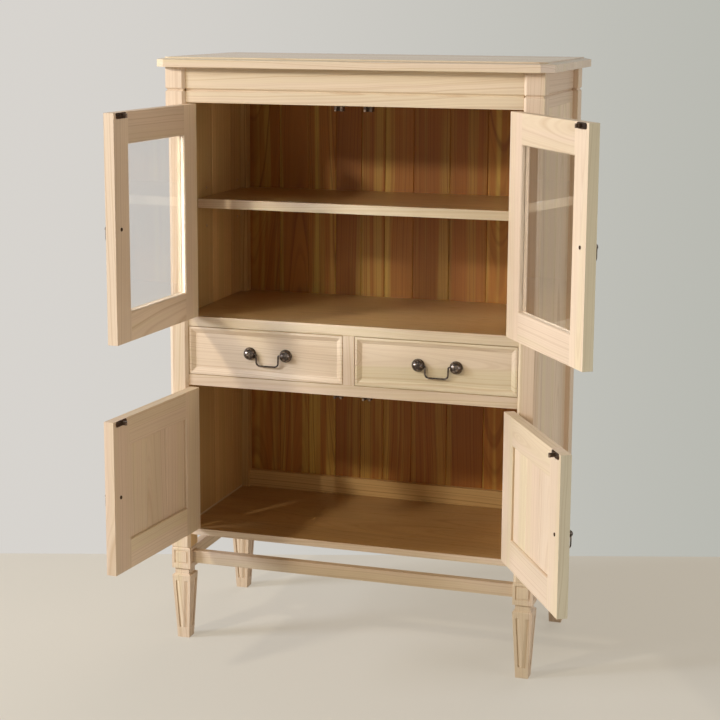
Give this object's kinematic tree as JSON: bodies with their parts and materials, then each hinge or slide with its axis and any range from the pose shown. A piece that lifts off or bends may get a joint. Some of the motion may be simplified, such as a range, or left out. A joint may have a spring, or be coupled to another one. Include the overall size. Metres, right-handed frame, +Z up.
{
  "type": "tall cabinet",
  "caption": "Tall free-standing wooden cabinet on tapered legs, with glazed doors above a drawer band and panelled doors below, doors standing open.",
  "frame": {"origin": "middle of the footprint of the whole cabinet with its doors standing open as stored, on the floor", "axes": "+X to the right seen from the front, +Y from the front to the back, +Z up"},
  "size_m": [0.978, 0.7502, 1.2631],
  "materials": {
    "pale_wood": "pale straight-grained timber under a thin satin coat",
    "inner_wood": "unstained boards of the same timber, a little darker",
    "glass": "clear flat glass",
    "pull_metal": "dark antiqued metal, half gloss",
    "catch_metal": "dark brown coated metal",
    "hinge_metal": "dull browned metal"
  },
  "bodies": {
    "carcass": {"adjustable_shelf": "pale_wood", "back_boards": "inner_wood", "back_left_post": "pale_wood", "back_right_post": "pale_wood", "back_stretcher": "pale_wood", "deck_board": "pale_wood", "door_catches": "catch_metal", "drawer_divider": "pale_wood", "drawer_rail": "pale_wood", "drawer_runners": "inner_wood", "floor_board": "pale_wood", "front_frieze": "pale_wood", "front_left_post": "pale_wood", "front_right_post": "pale_wood", "front_stretcher": "pale_wood", "left_side_boards": "pale_wood", "low_back_rail": "pale_wood", "low_side_rails": "pale_wood", "post_hinge_leaves": "hinge_metal", "right_side_boards": "pale_wood", "shelf_pegs": "pale_wood", "side_friezes": "pale_wood", "side_stretchers": "pale_wood", "top_back_rail": "pale_wood", "top_board": "pale_wood"},
    "upper_left_door": {"upper_left_door_frame": "pale_wood", "upper_left_glass": "glass", "upper_left_hinge_leaves": "hinge_metal", "upper_left_pull_post": "pull_metal", "upper_left_strike": "catch_metal"},
    "upper_left_ring": {"upper_left_pull_ring": "pull_metal"},
    "upper_right_door": {"upper_right_door_frame": "pale_wood", "upper_right_glass": "glass", "upper_right_hinge_leaves": "hinge_metal", "upper_right_pull_post": "pull_metal", "upper_right_strike": "catch_metal"},
    "upper_right_ring": {"upper_right_pull_ring": "pull_metal"},
    "lower_left_door": {"lower_left_door_frame": "pale_wood", "lower_left_hinge_leaves": "hinge_metal", "lower_left_panel": "pale_wood", "lower_left_pull_post": "pull_metal", "lower_left_strike": "catch_metal"},
    "lower_left_ring": {"lower_left_pull_ring": "pull_metal"},
    "lower_right_door": {"lower_right_door_frame": "pale_wood", "lower_right_hinge_leaves": "hinge_metal", "lower_right_panel": "pale_wood", "lower_right_pull_post": "pull_metal", "lower_right_strike": "catch_metal"},
    "lower_right_ring": {"lower_right_pull_ring": "pull_metal"},
    "left_drawer": {"left_drawer_front": "pale_wood", "left_drawer_walls": "inner_wood", "left_drawer_bottom": "inner_wood", "left_pull_posts": "pull_metal"},
    "left_drawer_bail": {"left_bail": "pull_metal"},
    "right_drawer": {"right_drawer_front": "pale_wood", "right_drawer_walls": "inner_wood", "right_drawer_bottom": "inner_wood", "right_pull_posts": "pull_metal"},
    "right_drawer_bail": {"right_bail": "pull_metal"}
  },
  "joints": [
    {"name": "upper_left_door_hinge", "type": "hinge", "parent": "carcass", "child": "upper_left_door", "pos_m": [-0.42739, -0.01863, 0.7213], "axis": [0, 0, -1], "range_deg": [-93.2, 81.8]},
    {"name": "upper_left_ring_swing", "type": "hinge", "parent": "upper_left_door", "child": "upper_left_ring", "pos_m": [-0.44732, -0.35003, 0.9445], "axis": [0.0558, 0.9984, 0], "range_deg": [0, 95]},
    {"name": "upper_right_door_hinge", "type": "hinge", "parent": "carcass", "child": "upper_right_door", "pos_m": [0.28762, -0.01863, 0.7213], "axis": [0, 0, 1], "range_deg": [-125.4, 49.6]},
    {"name": "upper_right_ring_swing", "type": "hinge", "parent": "upper_right_door", "child": "upper_right_ring", "pos_m": [0.48108, -0.28844, 0.9445], "axis": [0.5793, -0.8151, 0], "range_deg": [0, 95]},
    {"name": "lower_left_door_hinge", "type": "hinge", "parent": "carcass", "child": "lower_left_door", "pos_m": [-0.42739, -0.01863, 0.2566], "axis": [0, 0, -1], "range_deg": [-95.3, 79.7]},
    {"name": "lower_left_ring_swing", "type": "hinge", "parent": "lower_left_door", "child": "lower_left_ring", "pos_m": [-0.45945, -0.34908, 0.4123], "axis": [0.0924, 0.9957, 0], "range_deg": [0, 95]},
    {"name": "lower_right_door_hinge", "type": "hinge", "parent": "carcass", "child": "lower_right_door", "pos_m": [0.28762, -0.01863, 0.2566], "axis": [0, 0, 1], "range_deg": [-119.7, 55.3]},
    {"name": "lower_right_ring_swing", "type": "hinge", "parent": "lower_right_door", "child": "lower_right_ring", "pos_m": [0.45332, -0.30632, 0.4123], "axis": [0.4955, -0.8686, 0], "range_deg": [0, 95]},
    {"name": "left_drawer_slide", "type": "slide", "parent": "carcass", "child": "left_drawer", "axis": [0, -1, 0], "range_m": [0, 0.25]},
    {"name": "left_bail_swing", "type": "hinge", "parent": "left_drawer", "child": "left_drawer_bail", "pos_m": [-0.24979, -0.01293, 0.64555], "axis": [-1, 0, 0], "range_deg": [0, 95]},
    {"name": "right_drawer_slide", "type": "slide", "parent": "carcass", "child": "right_drawer", "axis": [0, -1, 0], "range_m": [0, 0.25]},
    {"name": "right_bail_swing", "type": "hinge", "parent": "right_drawer", "child": "right_drawer_bail", "pos_m": [0.11832, -0.01293, 0.64555], "axis": [-1, 0, 0], "range_deg": [0, 95]}
  ]
}
